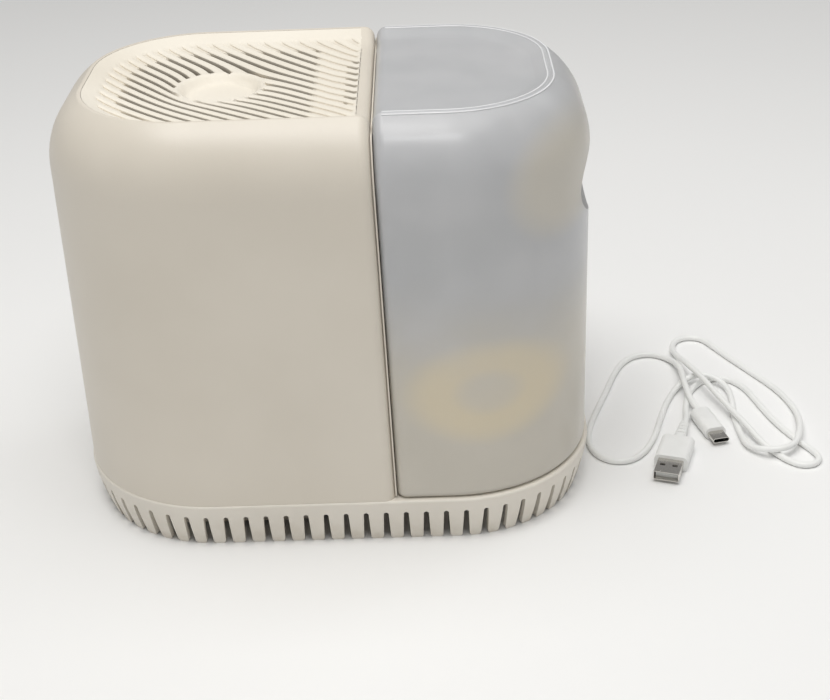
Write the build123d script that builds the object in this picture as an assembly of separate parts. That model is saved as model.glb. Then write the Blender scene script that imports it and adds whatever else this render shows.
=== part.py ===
from build123d import *
import math
import os

os.makedirs("parts", exist_ok=True)

# Cool mist humidifier: a fan housing and a lift-off water tank stand side by side on one base tray.
# Millimetres, +Z up, origin at the centre of the underside. +X points to the tank, -Y to the front.

# Overall form
WIDTH = 232.0
DEPTH = 152.0
PLAN_RADIUS = 62.8
CREST_Z = 194.5
CREST_INSET = 15.3
TOP_RADIUS = 35.3
BASE_RIM_Z = 22.5
SEAM_X = 23.0
SEAM_LEAN = 1.27
SEAM_GAP = 1.0
SEAM_ROUND = 4.5

# Housing
HOUSING_INSET = 0.6
HOUSING_WALL = 2.4
HOUSING_DISH_DEPTH = 5.7
HOUSING_COVE = 14.0
HOUSING_COVE_RADIUS = 18.0
CREST_ROUND = 1.6
GRILLE_THICKNESS = 3.0
GRILLE_INSET = 17.0
GRILLE_BORDER = 6.0

# Grille slots: lines at 45 degrees that swirl round the middle dish
SLOT_PITCH = 5.6
SLOT_WIDTH = 2.2
SLOT_ZONE_INSET = 31.5
SLOT_ZONE_RIGHT = -3.0
SWIRL = 4.9
MIDDLE_DISH_RADIUS = 18.8
MIDDLE_DISH_FLOOR_RADIUS = 13.5
MIDDLE_DISH_DEPTH = 4.0
MIDDLE_DISH_BACKING = 2.0
END_VENT_LEFT = 11.5
END_VENT_RIGHT = 17.0
END_VENT_HALF_SPAN = 27.0

# Fan
FAN_X = -43.0
FAN_SIZE = 92.0
FAN_HEIGHT = 25.0
FAN_BORE_RADIUS = 43.5
FAN_HOLE_SPACING = 82.5
FAN_HOLE_RADIUS = 2.15
BLADE_TIP_RADIUS = 41.5
BLADE_COUNT = 7
HUB_RADIUS = 18.0
MOTOR_RADIUS = 14.0
SHAFT_RADIUS = 1.5
SHAFT_CLEARANCE = 0.05
FAN_HEADROOM = 10.3
DECK_THICKNESS = 2.5
SCREW_RADIUS = 1.95
SCREW_HEAD_RADIUS = 3.5
SCREW_CLEARANCE = 0.05

# Base tray
SKIRT_WALL = 2.6
SKIRT_TUCK = 5.3
SKIRT_SLOT_PITCH = 8.8
SKIRT_SLOT_TOP_Z = 16.5
SKIRT_SLOT_HALF_TOP = 1.1
SKIRT_SLOT_HALF_FOOT = 1.65
DECK_PLATE = 2.5
WELL_WALL = 2.2
WELL_UNDERSIDE_Z = 3.0
WELL_FLOOR_Z = 5.2
WELL_LEFT = -98.0
WELL_RIGHT = 14.0
WELL_HALF_DEPTH = 56.0
WELL_CORNER = 34.0
CAP_WELL_RADIUS = 38.0
CHANNEL_HALF = 12.0
AIR_GAP_OUTER_INSET = 7.0
AIR_GAP_INNER_INSET = 12.5
FOOT_RADIUS = 7.0

# Filter cartridge
FILTER_OUTER_RADIUS = 46.0
FILTER_PLEAT_DEPTH = 6.0
FILTER_PLEATS = 30
FILTER_INNER_RADIUS = 31.0
FILTER_HEADROOM = 11.0
FILTER_PLATE = 2.5

# Float
FLOAT_X = -2.0
FLOAT_Y = 40.0
FLOAT_RADIUS = 8.0
FLOAT_HEIGHT = 9.0
FLOAT_TRAVEL = 6.0
FLOAT_PIN_RADIUS = 1.5
FLOAT_PIN_CLEARANCE = 0.1

# Tank
TANK_INSET = 1.5
TANK_WALL = 2.0
TANK_DISH_DEPTH = 3.3
TANK_LAND = 3.2
TANK_COVE = 8.0
TANK_COVE_RADIUS = 10.0
TANK_FOOT_ROUND = 3.0
GRIP_DROP = 44.5
GRIP_DEPTH = 26.0
GRIP_HALF_WIDTH = 40.0
GRIP_HALF_HEIGHT = 18.0
CAP_X = 71.0
NECK_RADIUS = 27.0
NECK_WALL = 2.0
NECK_END_Z = 13.5
CAP_WALL = 2.4
CAP_FLOOR = 2.0
CAP_CLEARANCE = 0.6
CAP_TOP_Z = 19.5
GASKET_THICKNESS = 1.5
VALVE_HOLE_RADIUS = 6.0
VALVE_DISC_RADIUS = 9.0
VALVE_TRAVEL = 3.0
SEAL_THICKNESS = 1.5
STEM_RADIUS = 2.5
STEM_CLEARANCE = 0.1
SPRING_RADIUS = 5.0
SPRING_WIRE = 0.4
SPRING_TURNS = 5

# Controls on the back of the housing
PANEL_X = -20.0
BUTTON_Z = 78.0
BUTTON_RADIUS = 6.0
BUTTON_CLEARANCE = 0.3
BUTTON_TRAVEL = 1.0
BUTTON_PROUD = 0.5
LED_Z = 64.0
LED_RADIUS = 1.5
INLET_Z = 44.0
INLET_WIDTH = 8.94
INLET_HEIGHT = 3.26
INLET_SHELL = 0.3
BOARD_WIDTH = 34.0
BOARD_LOW_Z = 36.0
BOARD_HIGH_Z = 90.0
BOARD_THICKNESS = 1.6
BOARD_STANDOFF = 6.0

# USB cable, which lies free on the surface beside the tank
CABLE_DIAMETER = 3.0
A_AXIS_Z = 4.0
C_AXIS_Z = 3.25
A_BODY = (15.7, 7.8, 19.0)
A_NECK = (6.4, 5.6, 17.5)
A_SHELL = (12.0, 4.5, 12.0)
A_SHELL_WALL = 0.35
A_TONGUE = (10.6, 1.9, 9.0)
C_BODY = (10.6, 6.3, 21.5)
C_SHELL = (8.34, 2.56, 7.0)
C_SHELL_WALL = 0.3
C_TONGUE = (6.4, 0.7, 5.0)

# Route of the cable from the USB-C plug to the USB-A plug: (x, y, z) of its middle line
C_AXIS = (0.2245, -0.9745)
A_AXIS = (-0.326, -0.9454)
CABLE_ROUTE = [
    (175.9, 25.0, C_AXIS_Z),
    (173.88, 33.77, C_AXIS_Z),
    (172.2, 46.0, 6.8),
    (172.6, 60.0, 6.8),
    (172.5, 73.0, 4.0),
    (169.3, 82.8, 1.8),
    (162.0, 88.6, 1.6),
    (152.6, 88.0, 1.6),
    (145.0, 81.0, 1.6),
    (139.0, 69.0, 1.6),
    (133.0, 51.0, 1.6),
    (126.2, 32.5, 1.6),
    (120.6, 15.5, 1.6),
    (118.6, 2.0, 1.6),
    (121.0, -9.5, 1.6),
    (128.5, -16.6, 1.6),
    (138.0, -15.8, 1.6),
    (145.6, -7.5, 1.6),
    (151.4, 5.0, 1.6),
    (156.0, 20.0, 1.6),
    (161.5, 37.0, 1.6),
    (168.5, 51.5, 1.7),
    (177.5, 58.8, 5.0),
    (188.0, 58.0, 5.0),
    (194.6, 49.5, 2.8),
    (195.0, 37.0, 1.6),
    (192.8, 21.0, 1.6),
    (193.0, 4.5, 1.6),
    (193.9, -7.2, 2.4),
    (199.6, -14.0, 4.4),
    (208.2, -15.6, 5.2),
    (216.0, -11.2, 5.2),
    (220.4, -0.4, 5.2),
    (223.4, 12.0, 3.6),
    (224.4, 28.0, 1.6),
    (219.6, 47.0, 1.6),
    (209.8, 66.0, 1.6),
    (200.4, 84.0, 1.6),
    (195.2, 95.0, 1.6),
    (191.3, 103.0, 1.6),
    (185.4, 106.2, 1.6),
    (178.9, 105.1, 1.6),
    (174.3, 100.3, 1.6),
    (172.6, 90.0, 2.6),
    (173.2, 78.0, 5.6),
    (175.8, 64.8, 8.8),
    (181.0, 50.5, 8.8),
    (186.2, 37.0, 6.6),
    (191.0, 23.5, 5.4),
    (196.0, 8.0, 5.2),
    (201.6, -6.0, 2.6),
    (208.6, -17.0, 1.6),
    (213.8, -23.0, 1.6),
    (218.0, -24.6, 1.6),
    (222.2, -23.8, 1.6),
    (225.2, -20.8, 1.6),
    (226.0, -16.6, 1.6),
    (223.6, -10.6, 1.6),
    (219.8, -3.5, 1.6),
    (215.2, 6.5, 1.6),
    (210.8, 19.0, 1.6),
    (207.0, 35.5, 1.6),
    (203.4, 51.0, 1.6),
    (195.6, 60.6, 1.6),
    (184.8, 59.8, 1.6),
    (176.6, 51.0, 1.6),
    (172.0, 39.0, 1.6),
    (169.9, 27.0, 1.9),
    (168.82, 17.36, A_AXIS_Z),
    (166.8, 11.5, A_AXIS_Z),
]

# Worked-out levels
FULL_Z = CREST_Z + TOP_RADIUS - math.sqrt(TOP_RADIUS**2 - (TOP_RADIUS - CREST_INSET) ** 2)
HOUSING_PANEL_Z = CREST_Z - HOUSING_DISH_DEPTH
TANK_PANEL_Z = CREST_Z - TANK_DISH_DEPTH
GRIP_Z = CREST_Z - GRIP_DROP
MIDDLE_DISH_LOW_Z = HOUSING_PANEL_Z - MIDDLE_DISH_DEPTH - MIDDLE_DISH_BACKING
DECK_Z = MIDDLE_DISH_LOW_Z - FAN_HEADROOM - FAN_HEIGHT - DECK_THICKNESS
FILTER_TOP_Z = DECK_Z - FILTER_HEADROOM
ROOF_Z = HOUSING_PANEL_Z - GRILLE_THICKNESS
FAR = 400.0


def outline(inset):
    return RectangleRounded(WIDTH - 2 * inset, DEPTH - 2 * inset, PLAN_RADIUS - inset)


def envelope(inset, low):
    """The outer form of the whole body, moved inwards by inset, from the level low up."""
    block = extrude(Pos(0, 0, low) * outline(inset), FULL_Z - inset - low)
    return fillet(block.edges().group_by(Axis.Z)[-1], TOP_RADIUS - inset)


def seam_side(offset, towards_tank):
    """Everything on one side of the leaning seam plane, the plane moved by offset towards the tank."""
    reach = FAR / 2 if towards_tank else -FAR / 2
    block = Pos(reach, 0, 0) * Box(FAR, FAR, 2 * FAR)
    return Pos(SEAM_X + offset, 0, CREST_Z) * Rot(0, -SEAM_LEAN, 0) * block


def dish(top_inset, low_inset, low_z):
    """The sloping hollow in the top: what is cut away above the panel."""
    above = FULL_Z - CREST_Z + 1
    slope = (low_inset - top_inset) / (CREST_Z - low_z)
    low = Pos(0, 0, low_z) * outline(low_inset)
    high = Pos(0, 0, CREST_Z + above) * outline(top_inset - slope * above)
    return loft([low.face(), high.face()], ruled=True)


def level_edges(shape, low, high):
    boxes = [(edge, edge.bounding_box()) for edge in shape.edges()]
    return [edge for edge, box in boxes if box.min.Z > low and box.max.Z < high]


def seam_face(shape, outward):
    flat = [face for face in shape.faces() if face.geom_type == GeomType.PLANE]
    return max(flat, key=lambda face: face.normal_at().X * outward * (face.area > 2000))


def disc(radius, low, high, x=0.0, y=0.0):
    return Pos(x, y, low) * extrude(Circle(radius), high - low)


def ring(outer, inner, low, high, x=0.0, y=0.0):
    return disc(outer, low, high, x, y) - disc(inner, low - 1, high + 1, x, y)


def save(shape, node, solids=1):
    """Writes one node, as one solid or as a group of equal pieces."""
    bodies = shape.solids()
    assert len(bodies) == solids, f"{node} has {len(bodies)} solids"
    export_step(bodies[0] if solids == 1 else Compound(children=list(bodies)), f"parts/{node}.step")


# ---------------------------------------------------------------- base tray
def skirt_form(extra):
    levels = [0.0, BASE_RIM_Z / 3, 2 * BASE_RIM_Z / 3, BASE_RIM_Z]
    faces = []
    for level in levels:
        tuck = SKIRT_TUCK * (1 - level / BASE_RIM_Z) ** 1.5
        faces.append((Pos(0, 0, level) * outline(tuck + extra)).face())
    return loft(faces)


def well_plan(grow):
    main = Pos((WELL_LEFT + WELL_RIGHT) / 2, 0) * RectangleRounded(
        WELL_RIGHT - WELL_LEFT + 2 * grow, 2 * WELL_HALF_DEPTH + 2 * grow, WELL_CORNER + grow
    )
    cap = Pos(CAP_X, 0) * Circle(CAP_WELL_RADIUS + grow)
    channel = Pos(CAP_X / 2, 0) * Rectangle(CAP_X, 2 * CHANNEL_HALF + 2 * grow)
    return main + cap + channel


def skirt_slot_tool():
    """One open-footed vent slot, drawn in the XZ plane and extruded through the wall."""
    arc_z = SKIRT_SLOT_TOP_Z - SKIRT_SLOT_HALF_TOP
    flare = SKIRT_SLOT_HALF_FOOT + 0.7
    side = [(flare, -1), (flare, 0), (SKIRT_SLOT_HALF_FOOT, 1.1), (SKIRT_SLOT_HALF_TOP, arc_z)]
    mirrored = [(-x, z) for x, z in reversed(side)]
    sides = Polyline(*side) + Polyline(*mirrored) + Line(mirrored[-1], side[0])
    crown = ThreePointArc(side[-1], (0, SKIRT_SLOT_TOP_Z), mirrored[0])
    face = make_face((sides + crown).edges())
    return Rot(90, 0, 0) * extrude(face, 9.0, both=True)


def base_tray():
    inner = skirt_form(SKIRT_WALL) & Pos(0, 0, (BASE_RIM_Z - DECK_PLATE) / 2) * Box(
        FAR, FAR, BASE_RIM_Z - DECK_PLATE
    )
    outer = skirt_form(0)
    rim = level_edges(outer, BASE_RIM_Z - 0.1, BASE_RIM_Z + 0.1)
    tray = fillet(rim, 1.0) - inner
    well = extrude(Pos(0, 0, WELL_UNDERSIDE_Z) * well_plan(WELL_WALL), BASE_RIM_Z - 0.5 - WELL_UNDERSIDE_Z)
    hollow = extrude(Pos(0, 0, WELL_FLOOR_Z) * well_plan(0), BASE_RIM_Z)
    tray = tray + well - hollow
    path = outline(SKIRT_TUCK / 4).wire()
    count = round(path.length / SKIRT_SLOT_PITCH)
    tool = skirt_slot_tool()
    tools = []
    for index in range(count):
        place = path @ ((index + 0.5) / count)
        along = path % ((index + 0.5) / count)
        turn = math.degrees(math.atan2(along.Y, along.X))
        tools.append(Pos(place.X, place.Y, 0) * Rot(0, 0, turn) * tool)
    tray = tray - tools
    gap_outline = outline(AIR_GAP_OUTER_INSET) - outline(AIR_GAP_INNER_INSET)
    gap = extrude(Pos(0, 0, BASE_RIM_Z - DECK_PLATE - 1) * gap_outline, 6)
    gap &= Pos(WELL_LEFT, 0, 0) * Box(2 * (WELL_RIGHT - WELL_LEFT - 8), FAR, FAR)
    for turn in range(0, 180, 30):
        gap -= Pos(FAN_X, 0, 0) * Rot(0, 0, turn) * Box(FAR, 5, FAR)
    tray -= gap
    pin_top = WELL_FLOOR_Z + FLOAT_HEIGHT + FLOAT_TRAVEL + 0.6
    tray += disc(FLOAT_PIN_RADIUS, WELL_FLOOR_Z - 0.5, pin_top, FLOAT_X, FLOAT_Y)
    return tray


save(base_tray(), "base_tray")

feet = [(-70, -42), (-70, 42), (CAP_X + 14, -24), (CAP_X + 14, 24)]
save(Compound(children=[disc(FOOT_RADIUS, 0, WELL_UNDERSIDE_Z, x, y) for x, y in feet]), "rubber_feet", 4)

stem_foot_z = NECK_END_Z - GASKET_THICKNESS - CAP_FLOOR + 1.0
post = disc(6.0, WELL_FLOOR_Z, WELL_FLOOR_Z + 1.6, CAP_X) + disc(2.6, WELL_FLOOR_Z, stem_foot_z, CAP_X)
save(post, "valve_post")

# ---------------------------------------------------------------- float
float_bore = FLOAT_PIN_RADIUS + FLOAT_PIN_CLEARANCE
puck = ring(FLOAT_RADIUS, float_bore, WELL_FLOOR_Z, WELL_FLOOR_Z + FLOAT_HEIGHT, FLOAT_X, FLOAT_Y)
save(puck, "water_float")

# ---------------------------------------------------------------- filter cartridge
filter_plate_top = WELL_FLOOR_Z + FILTER_PLATE


def wick():
    """A pleated ring of wick."""
    points = []
    for index in range(2 * FILTER_PLEATS):
        radius = FILTER_OUTER_RADIUS - FILTER_PLEAT_DEPTH * (index % 2)
        angle = math.pi * index / FILTER_PLEATS
        points.append((radius * math.cos(angle), radius * math.sin(angle)))
    star = make_face(Polyline(*points, close=True)) - Circle(FILTER_INNER_RADIUS)
    height = FILTER_TOP_Z - filter_plate_top - FILTER_PLATE
    return Pos(FAN_X, 0, filter_plate_top) * extrude(star, height)


def filter_frame():
    outer = FILTER_OUTER_RADIUS + 1
    low = ring(outer, FILTER_INNER_RADIUS - 4, WELL_FLOOR_Z, filter_plate_top, FAN_X)
    top = ring(outer, FILTER_INNER_RADIUS - 4, FILTER_TOP_Z - FILTER_PLATE, FILTER_TOP_Z, FAN_X)
    frame = low + top
    for index in range(8):
        angle = math.radians(45 * index)
        reach = FILTER_INNER_RADIUS - 2.2
        x = FAN_X + reach * math.cos(angle)
        frame += disc(2.0, WELL_FLOOR_Z + 0.5, FILTER_TOP_Z - 0.5, x, reach * math.sin(angle))
    handle = Pos(FAN_X, 0, FILTER_TOP_Z - FILTER_PLATE / 2) * Box(2 * FILTER_INNER_RADIUS, 8, FILTER_PLATE)
    return frame + handle


save(wick(), "wick_filter")
save(filter_frame(), "filter_frame")


# ---------------------------------------------------------------- housing
def top_form(inset, offset, towards_tank, land, cove, panel_z, cove_radius):
    """One half of the body as a full solid: crest, dished top and rounded seam edge."""
    half = envelope(inset, BASE_RIM_Z) & seam_side(offset, towards_tank)
    half -= dish(CREST_INSET + land, CREST_INSET + land + cove, panel_z)
    seam_way = 1 if towards_tank else -1
    crest = level_edges(half, CREST_Z - 0.6, CREST_Z + 0.6)
    half = fillet([edge for edge in crest if edge.length > land + 4.0], CREST_ROUND)
    foot = level_edges(half, panel_z - 0.01, panel_z + 0.01)
    foot = [edge for edge in foot if seam_way * (edge.center().X - SEAM_X) > 2]
    half = fillet(foot, cove_radius)
    face = seam_face(half, -seam_way)
    loop = [edge for edge in face.edges() if edge.center().Z > BASE_RIM_Z + 1]
    return fillet(loop, SEAM_ROUND)


housing_seam = -SEAM_GAP / 2
housing_form = top_form(
    HOUSING_INSET, housing_seam, False, 0.0, HOUSING_COVE, HOUSING_PANEL_Z, HOUSING_COVE_RADIUS
)
inside = HOUSING_INSET + HOUSING_WALL
housing_cavity = envelope(inside, BASE_RIM_Z - 1) & seam_side(housing_seam - HOUSING_WALL, False)
under_top = dish(
    CREST_INSET - HOUSING_WALL, CREST_INSET + HOUSING_COVE, HOUSING_PANEL_Z - GRILLE_THICKNESS
)
housing_hollow = housing_cavity - under_top
grille_prism = extrude(Pos(0, 0, ROOF_Z - 6) * outline(GRILLE_INSET), 20)
grille_prism &= seam_side(housing_seam - GRILLE_BORDER, False)
grille_blank = (housing_form - housing_hollow) & grille_prism
button_bore = BUTTON_RADIUS + BUTTON_CLEARANCE
BACK_Y = DEPTH / 2 - HOUSING_INSET
BACK_INNER_Y = BACK_Y - HOUSING_WALL


def along_y(radius, low, high, x, z):
    """A round bar lying along Y."""
    return Pos(x, high, z) * Rot(90, 0, 0) * extrude(Circle(radius), high - low)


def inlet_opening(grow, low, high):
    slot = RectangleRounded(INLET_WIDTH + 2 * grow, INLET_HEIGHT + 2 * grow, INLET_HEIGHT / 2 + grow - 0.01)
    return Pos(PANEL_X, high, INLET_Z) * Rot(90, 0, 0) * extrude(slot, high - low)


def housing_shell():
    shell = housing_form - housing_hollow - grille_prism
    shell -= along_y(button_bore, BACK_INNER_Y - 1, BACK_Y + 1, PANEL_X, BUTTON_Z)
    shell -= along_y(LED_RADIUS, BACK_INNER_Y - 1, BACK_Y + 1, PANEL_X, LED_Z)
    shell -= inlet_opening(INLET_SHELL, BACK_INNER_Y - 1, BACK_Y + 1)
    for x, z in board_holes:
        shell += along_y(3.2, board_front_y, BACK_INNER_Y + 0.5, x, z)
        shell -= along_y(SCREW_RADIUS / 2 + SCREW_CLEARANCE, board_front_y - 1, BACK_INNER_Y, x, z)
    return shell


board_front_y = BACK_INNER_Y - BOARD_STANDOFF
board_back_y = board_front_y - BOARD_THICKNESS
board_holes = [
    (PANEL_X + sx * (BOARD_WIDTH / 2 - 4), z)
    for sx in (-1, 1)
    for z in (BOARD_LOW_Z + 4, BOARD_HIGH_Z - 4)
]
save(housing_shell(), "housing_shell")


# ---------------------------------------------------------------- top grille
def slot_side_shift(along, level):
    """How far a slot line at this level sits from the middle, swirled round the dish."""
    side = level
    for _ in range(30):
        radius = max(math.hypot(along, side), MIDDLE_DISH_RADIUS)
        side = level - SWIRL * (MIDDLE_DISH_RADIUS / radius) ** 2
    return side


def slot_runs(level, allowed):
    """Point lists, in plan, of the parts of one slot line where slots are allowed."""
    runs = []
    run = []
    for step in range(-60, 61):
        along = 2.0 * step
        side = slot_side_shift(along, level)
        x = FAN_X + (along + side) * math.sqrt(0.5)
        y = (side - along) * math.sqrt(0.5)
        if allowed(x, y):
            run.append((x, y))
        else:
            runs.append(run)
            run = []
    runs.append(run)
    return [points for points in runs if len(points) >= 3]


def in_main_zone(x, y):
    half_x = WIDTH / 2 - SLOT_ZONE_INSET
    half_y = DEPTH / 2 - SLOT_ZONE_INSET
    corner = PLAN_RADIUS - SLOT_ZONE_INSET
    out_x = max(-x - (half_x - corner), 0)
    out_y = max(abs(y) - (half_y - corner), 0)
    inside_outline = math.hypot(out_x, out_y) < corner if out_x > 0 else abs(y) < half_y
    clear_of_dish = math.hypot(x - FAN_X, y) > MIDDLE_DISH_RADIUS + SLOT_WIDTH * 0.8
    return inside_outline and clear_of_dish and x < SLOT_ZONE_RIGHT


def in_end_zone(x, y):
    return END_VENT_LEFT < x < END_VENT_RIGHT and abs(y) < END_VENT_HALF_SPAN


def slot_tool(points):
    line = Spline(*points) if len(points) > 3 else Polyline(points[0], points[-1])
    face = trace(line, SLOT_WIDTH)
    for end in (points[0], points[-1]):
        face += Pos(*end) * Circle(SLOT_WIDTH / 2)
    return extrude(Pos(0, 0, ROOF_Z - 1) * face, GRILLE_THICKNESS + 3)


def top_grille():
    grille = grille_blank
    bowl = Pos(FAN_X, 0, HOUSING_PANEL_Z) * Cone(
        MIDDLE_DISH_FLOOR_RADIUS, MIDDLE_DISH_RADIUS, MIDDLE_DISH_DEPTH, align=(Align.CENTER, Align.CENTER, Align.MAX)
    )
    backing = disc(MIDDLE_DISH_RADIUS, MIDDLE_DISH_LOW_Z, ROOF_Z + 1, FAN_X)
    grille = grille + backing - bowl
    lines = round(150 / SLOT_PITCH)
    tools = []
    for index in range(-lines, lines + 1):
        level = (index + 0.5) * SLOT_PITCH
        for zone in (in_main_zone, in_end_zone):
            tools += [slot_tool(points) for points in slot_runs(level, zone)]
    return grille - tools


save(top_grille(), "top_grille")


# ---------------------------------------------------------------- fan and its deck
fan_low = DECK_Z + DECK_THICKNESS
fan_high = fan_low + FAN_HEIGHT
fan_corners = [
    (FAN_X + sx * FAN_HOLE_SPACING / 2, sy * FAN_HOLE_SPACING / 2) for sx in (-1, 1) for sy in (-1, 1)
]


def fan_deck():
    deck = housing_cavity & Pos(0, 0, DECK_Z + DECK_THICKNESS / 2) * Box(FAR, FAR, DECK_THICKNESS)
    deck += ring(FILTER_INNER_RADIUS + 12, FILTER_INNER_RADIUS + 9, FILTER_TOP_Z + 0.6, DECK_Z + 1, FAN_X)
    for x, y in fan_corners:
        deck += disc(4.0, DECK_Z - 8, DECK_Z + 1, x, y)
        deck -= disc(SCREW_RADIUS + SCREW_CLEARANCE, DECK_Z - 6.5, fan_low + 1, x, y)
    return deck - disc(FILTER_INNER_RADIUS + 8, DECK_Z - 1, fan_low + 1, FAN_X)


def fan_frame():
    body = Pos(FAN_X, 0, fan_low) * extrude(RectangleRounded(FAN_SIZE, FAN_SIZE, 6), FAN_HEIGHT)
    waist = ring(FAR, FAN_BORE_RADIUS + 1.8, fan_low + 4, fan_high - 4, FAN_X)
    frame = body - waist - disc(FAN_BORE_RADIUS, fan_low - 1, fan_high + 1, FAN_X)
    for x, y in fan_corners:
        frame -= disc(FAN_HOLE_RADIUS, fan_low - 1, fan_high + 1, x, y)
    spider = disc(MOTOR_RADIUS + 2, fan_low, fan_low + 2.5, FAN_X)
    for turn in (30, 120, 210, 300):
        arm = Pos(30, 0, 1.25) * Box(34, 4, 2.5)
        spider += Pos(FAN_X, 0, fan_low) * Rot(0, 0, turn) * arm
    return frame + spider


motor_low = fan_low + 2.5
shaft_bore = SHAFT_RADIUS + SHAFT_CLEARANCE
save(fan_deck(), "fan_deck")
save(fan_frame(), "fan_frame")
motor = ring(MOTOR_RADIUS, shaft_bore, motor_low, motor_low + 11, FAN_X)
save(motor, "fan_motor")


def fan_impeller():
    cup_low = motor_low + 1.5
    cup_high = fan_high - 2.0
    cup = disc(HUB_RADIUS, cup_low, cup_high, FAN_X)
    cup -= disc(HUB_RADIUS - 1.8, cup_low - 1, cup_high - 1.8, FAN_X)
    cup += disc(3.5, motor_low + 12, cup_high - 1, FAN_X)
    cup -= disc(SHAFT_RADIUS, motor_low, cup_high - 1.8, FAN_X)
    limit = ring(BLADE_TIP_RADIUS, HUB_RADIUS - 0.8, cup_low, cup_high, FAN_X)
    reach = BLADE_TIP_RADIUS - HUB_RADIUS + 4
    for index in range(BLADE_COUNT):
        blade = Pos(HUB_RADIUS - 1 + reach / 2, 0, 0) * Rot(42, 0, 0) * Box(reach, 1.6, 25)
        place = Pos(FAN_X, 0, (cup_low + cup_high) / 2) * Rot(0, 0, 360 * index / BLADE_COUNT)
        cup += (place * blade) & limit
    return cup


save(fan_impeller(), "fan_impeller")
shaft = disc(SHAFT_RADIUS, motor_low + 0.5, fan_high - 3.8, FAN_X)
save(shaft, "fan_shaft")


def screw(shank, head, height, length):
    """A pan head screw pointing down, its head's underside at the origin."""
    cap = extrude(Circle(head), height)
    cap = fillet(cap.edges().group_by(Axis.Z)[-1], height * 0.45)
    slot = Pos(0, 0, height) * Box(head * 1.1, 0.8, 1.2) + Pos(0, 0, height) * Box(0.8, head * 1.1, 1.2)
    return cap + Pos(0, 0, -length) * extrude(Circle(shank), length) - slot


fan_screw = screw(SCREW_RADIUS, SCREW_HEAD_RADIUS, 2.4, FAN_HEIGHT + DECK_THICKNESS + 5)
save(Compound(children=[Pos(x, y, fan_high) * fan_screw for x, y in fan_corners]), "fan_screws", 4)


# ---------------------------------------------------------------- controls
def control_board():
    height = BOARD_HIGH_Z - BOARD_LOW_Z
    middle = (BOARD_HIGH_Z + BOARD_LOW_Z) / 2
    board = Pos(PANEL_X, board_front_y, middle) * Rot(90, 0, 0) * extrude(
        RectangleRounded(BOARD_WIDTH, height, 1.5), BOARD_THICKNESS
    )
    for x, z in board_holes:
        board -= along_y(SCREW_RADIUS / 2 + 0.3, board_back_y - 1, board_front_y + 1, x, z)
    chip = Pos(PANEL_X, board_back_y - 0.9, middle - 4) * Box(7, 1.8, 7)
    choke = along_y(3.5, board_back_y - 4, board_back_y, PANEL_X + 8, middle - 14)
    return board + chip + choke


board_screw = screw(SCREW_RADIUS / 2, 2.2, 1.4, BOARD_THICKNESS + 4.5)
board_screws = [Pos(x, board_back_y, z) * Rot(90, 0, 0) * board_screw for x, z in board_holes]
save(control_board(), "control_board")
save(Compound(children=board_screws), "board_screws", 4)

inlet_back_y = board_front_y
inlet = inlet_opening(INLET_SHELL, inlet_back_y, BACK_Y - 0.2)
inlet -= inlet_opening(0, inlet_back_y + 1, BACK_Y + 1)
tongue_y = (inlet_back_y + BACK_Y) / 2 - 0.6
tongue = Pos(PANEL_X, tongue_y, INLET_Z) * Box(6.7, BACK_Y - inlet_back_y - 1.6, 0.7)
save(inlet + tongue, "usb_c_inlet")

lens = along_y(LED_RADIUS, board_front_y, BACK_Y + 0.2, PANEL_X, LED_Z)
save(lens, "led_lens")

switch_front_y = board_front_y + 2.6
switch_y = (board_front_y + switch_front_y) / 2
switch = Pos(PANEL_X, switch_y, BUTTON_Z) * Box(6, switch_front_y - board_front_y, 6)
save(switch, "button_switch")


def power_button():
    rest_gap = BUTTON_TRAVEL + 0.2
    cap = along_y(BUTTON_RADIUS, BACK_INNER_Y - 0.6, BACK_Y + BUTTON_PROUD, PANEL_X, BUTTON_Z)
    cap = fillet(cap.edges().group_by(Axis.Y)[-1], 0.4)
    collar = along_y(BUTTON_RADIUS + 1.6, BACK_INNER_Y - 1.6, BACK_INNER_Y - 0.4, PANEL_X, BUTTON_Z)
    foot = along_y(2.0, switch_front_y + rest_gap, BACK_INNER_Y - 1, PANEL_X, BUTTON_Z)
    return cap + collar + foot


save(power_button(), "power_button")

# ---------------------------------------------------------------- tank
tank_seam = SEAM_GAP / 2


def grip(grow):
    """The finger grip: a hollow in the right-hand wall."""
    size = (GRIP_DEPTH + grow, GRIP_HALF_WIDTH + grow, GRIP_HALF_HEIGHT + grow)
    return Pos(WIDTH / 2 - TANK_INSET, 0, GRIP_Z) * scale(Sphere(1), by=size)


def tank_shell():
    form = top_form(TANK_INSET, tank_seam, True, TANK_LAND, TANK_COVE, TANK_PANEL_Z, TANK_COVE_RADIUS)
    form = fillet(level_edges(form, BASE_RIM_Z - 0.1, BASE_RIM_Z + 0.1), TANK_FOOT_ROUND)
    inner = TANK_INSET + TANK_WALL
    hollow = envelope(inner, BASE_RIM_Z + TANK_WALL) & seam_side(tank_seam + TANK_WALL, True)
    hollow -= dish(
        CREST_INSET + TANK_LAND - TANK_WALL, CREST_INSET + TANK_LAND + TANK_COVE, TANK_PANEL_Z - TANK_WALL
    )
    hollow &= Pos(0, 0, 0) * Box(FAR, FAR, 2 * (CREST_Z - TANK_WALL))
    neck_inner = NECK_RADIUS - NECK_WALL
    shell = form - grip(0) - (hollow - grip(TANK_WALL))
    shell += disc(NECK_RADIUS, NECK_END_Z, BASE_RIM_Z + TANK_WALL, CAP_X)
    return shell - disc(neck_inner, NECK_END_Z - 1, BASE_RIM_Z + TANK_WALL + 1, CAP_X)


save(tank_shell(), "tank_shell")

cap_inner = NECK_RADIUS + CAP_CLEARANCE
cap_outer = cap_inner + CAP_WALL
cap_floor_top = NECK_END_Z - GASKET_THICKNESS
cap_low = cap_floor_top - CAP_FLOOR
cage_low = cap_floor_top + 19.0
cage_high = cage_low + 2.0


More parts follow.
